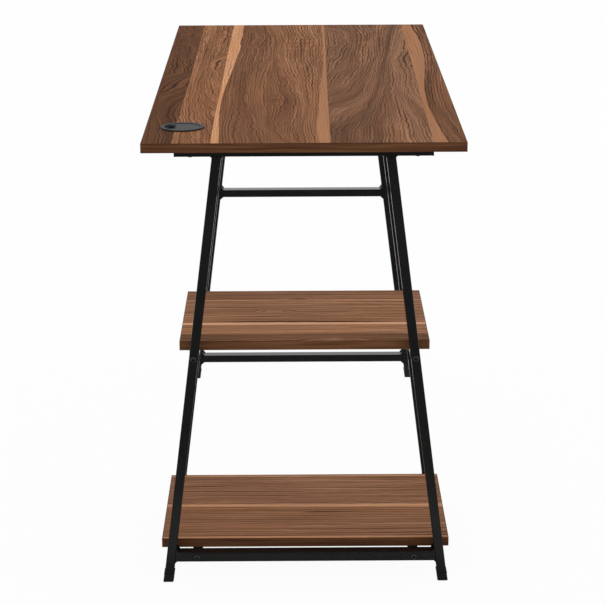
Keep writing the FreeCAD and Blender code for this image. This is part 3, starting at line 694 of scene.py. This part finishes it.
# Cable grommet: liner, cover and shutter moulded in charcoal plastic. The liner is pressed
# into the hole, the cover lies in it, and the shutter slides under the cover.
charcoal = moulded_plastic("charcoal_grommet_plastic", (0.035, 0.037, 0.0385), 0.50, 0.08)
flange_low, flange_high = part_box("grommet_liner")
hole = (flange_low + flange_high) / 2
# Painted shade: towards the flange's outer rim the grommet's colour is darkened to a quarter, as
# a shadow line round it.
rim_shade_from, rim_shade_to = 0.0322, 0.0349
x, y, _ = charcoal.place()
off_middle = charcoal.vector(charcoal.math("SUBTRACT", x, hole.x),
                             charcoal.math("SUBTRACT", y, hole.y), 0.0)
from_middle = charcoal.node("VectorMath", (off_middle,), operation="LENGTH").outputs["Value"]
shade(charcoal, charcoal.spread(from_middle, rim_shade_from, rim_shade_to, 1.0, 0.25))
dress(["grommet_liner", "grommet_cover", "grommet_shutter"], charcoal)

# Studio: a pale floor, and an even white surround that is a little brighter near the horizon,
# so that light reaches the shelves under the top.
floor_reach = 12.0
floor_mesh = bpy.data.meshes.new("studio_floor")
floor_mesh.from_pydata([(-floor_reach, -floor_reach, 0), (floor_reach, -floor_reach, 0),
                        (floor_reach, floor_reach, 0), (-floor_reach, floor_reach, 0)],
                       [], [(0, 1, 2, 3)])
studio_floor = bpy.data.objects.new("studio_floor", floor_mesh)
bpy.context.scene.collection.objects.link(studio_floor)

floor_white_share = 0.95
floor_paint = Finish("studio_floor_paint")
rays = floor_paint.node("LightPath").outputs
x = floor_paint.place()[0]
# Painted shade in reflections: seen by glossy rays, the floor is darkened under the desk and in
# front of it, so that the frames and boards mirror a dark floor there.
reflection_shade_under_desk = floor_paint.math("SUBTRACT", floor_paint.spread(x, 0.42, 0.52, 0.72, 0.0),
                              floor_paint.spread(x, -0.70, -0.60, 0.26, 0.0))
reflection_shade_before_desk = floor_paint.spread(x, -1.2, -0.8, 0.40, 0.0)
painted_reflection_shade = floor_paint.math("MULTIPLY", rays["Is Glossy Ray"],
                            floor_paint.math("ADD", reflection_shade_under_desk, reflection_shade_before_desk))
floor_paint.set(Base_Color=floor_paint.mixed(painted_reflection_shade, (0.86, 0.86, 0.86), (0.0, 0.0, 0.0)),
                Roughness=0.9, Specular_IOR_Level=0.0)
white = floor_paint.node("Emission", {"Color": (1, 1, 1, 1), "Strength": 1.0}).outputs[0]
seen_share = floor_paint.math("MULTIPLY", rays["Is Camera Ray"], floor_white_share)
pale = floor_paint.node("MixShader", (seen_share, floor_paint.shader.outputs[0], white))
floor_paint.feed(floor_paint.tree.nodes["Material Output"].inputs["Surface"], pale.outputs[0])
studio_floor.data.materials.append(floor_paint.material)

world = bpy.data.worlds.new("studio")
bpy.context.scene.world = world
world.use_nodes = True
sky = world.node_tree
for old in list(sky.nodes):
    sky.nodes.remove(old)


def sky_node(kind, inputs, **settings):
    """A node of the world, with its inputs linked or set."""
    made = sky.nodes.new("ShaderNode" + kind)
    for name, value in settings.items():
        setattr(made, name, value)
    for slot, value in inputs.items():
        if isinstance(value, bpy.types.NodeSocket):
            sky.links.new(value, made.inputs[slot])
        else:
            made.inputs[slot].default_value = value
    return made.outputs[0] if made.outputs else made


def sky_spread(value, low, high, to_low, to_high):
    return sky_node("MapRange", {"Value": value, "From Min": low, "From Max": high,
                                 "To Min": to_low, "To Max": to_high},
                    interpolation_type="SMOOTHSTEP")


def sky_larger(first, second):
    return sky_node("Math", {0: first, 1: second}, operation="MAXIMUM")


def sky_white(strength):
    return sky_node("Background", {"Color": (1, 1, 1, 1), "Strength": strength})


direction = sky.nodes.new("ShaderNodeTexCoord").outputs["Generated"]
heading = sky.nodes.new("ShaderNodeSeparateXYZ")
sky.links.new(direction, heading.inputs[0])
path = sky.nodes.new("ShaderNodeLightPath").outputs
light = sky_white(sky_spread(heading.outputs["Z"], 0.42, 0.80, 1.75, 0.45))
camera_side = sky_spread(heading.outputs["X"], -0.75, -0.05, 0.04, 1.0)
backdrop = sky_white(sky_larger(path["Is Camera Ray"], camera_side))
seen = sky_larger(sky_larger(path["Is Camera Ray"], path["Is Glossy Ray"]),
                  path["Is Transmission Ray"])
surround = sky_node("MixShader", {0: seen, 1: light, 2: backdrop})
sky_node("OutputWorld", {"Surface": surround})

bpy.context.scene.view_settings.view_transform = "Standard"
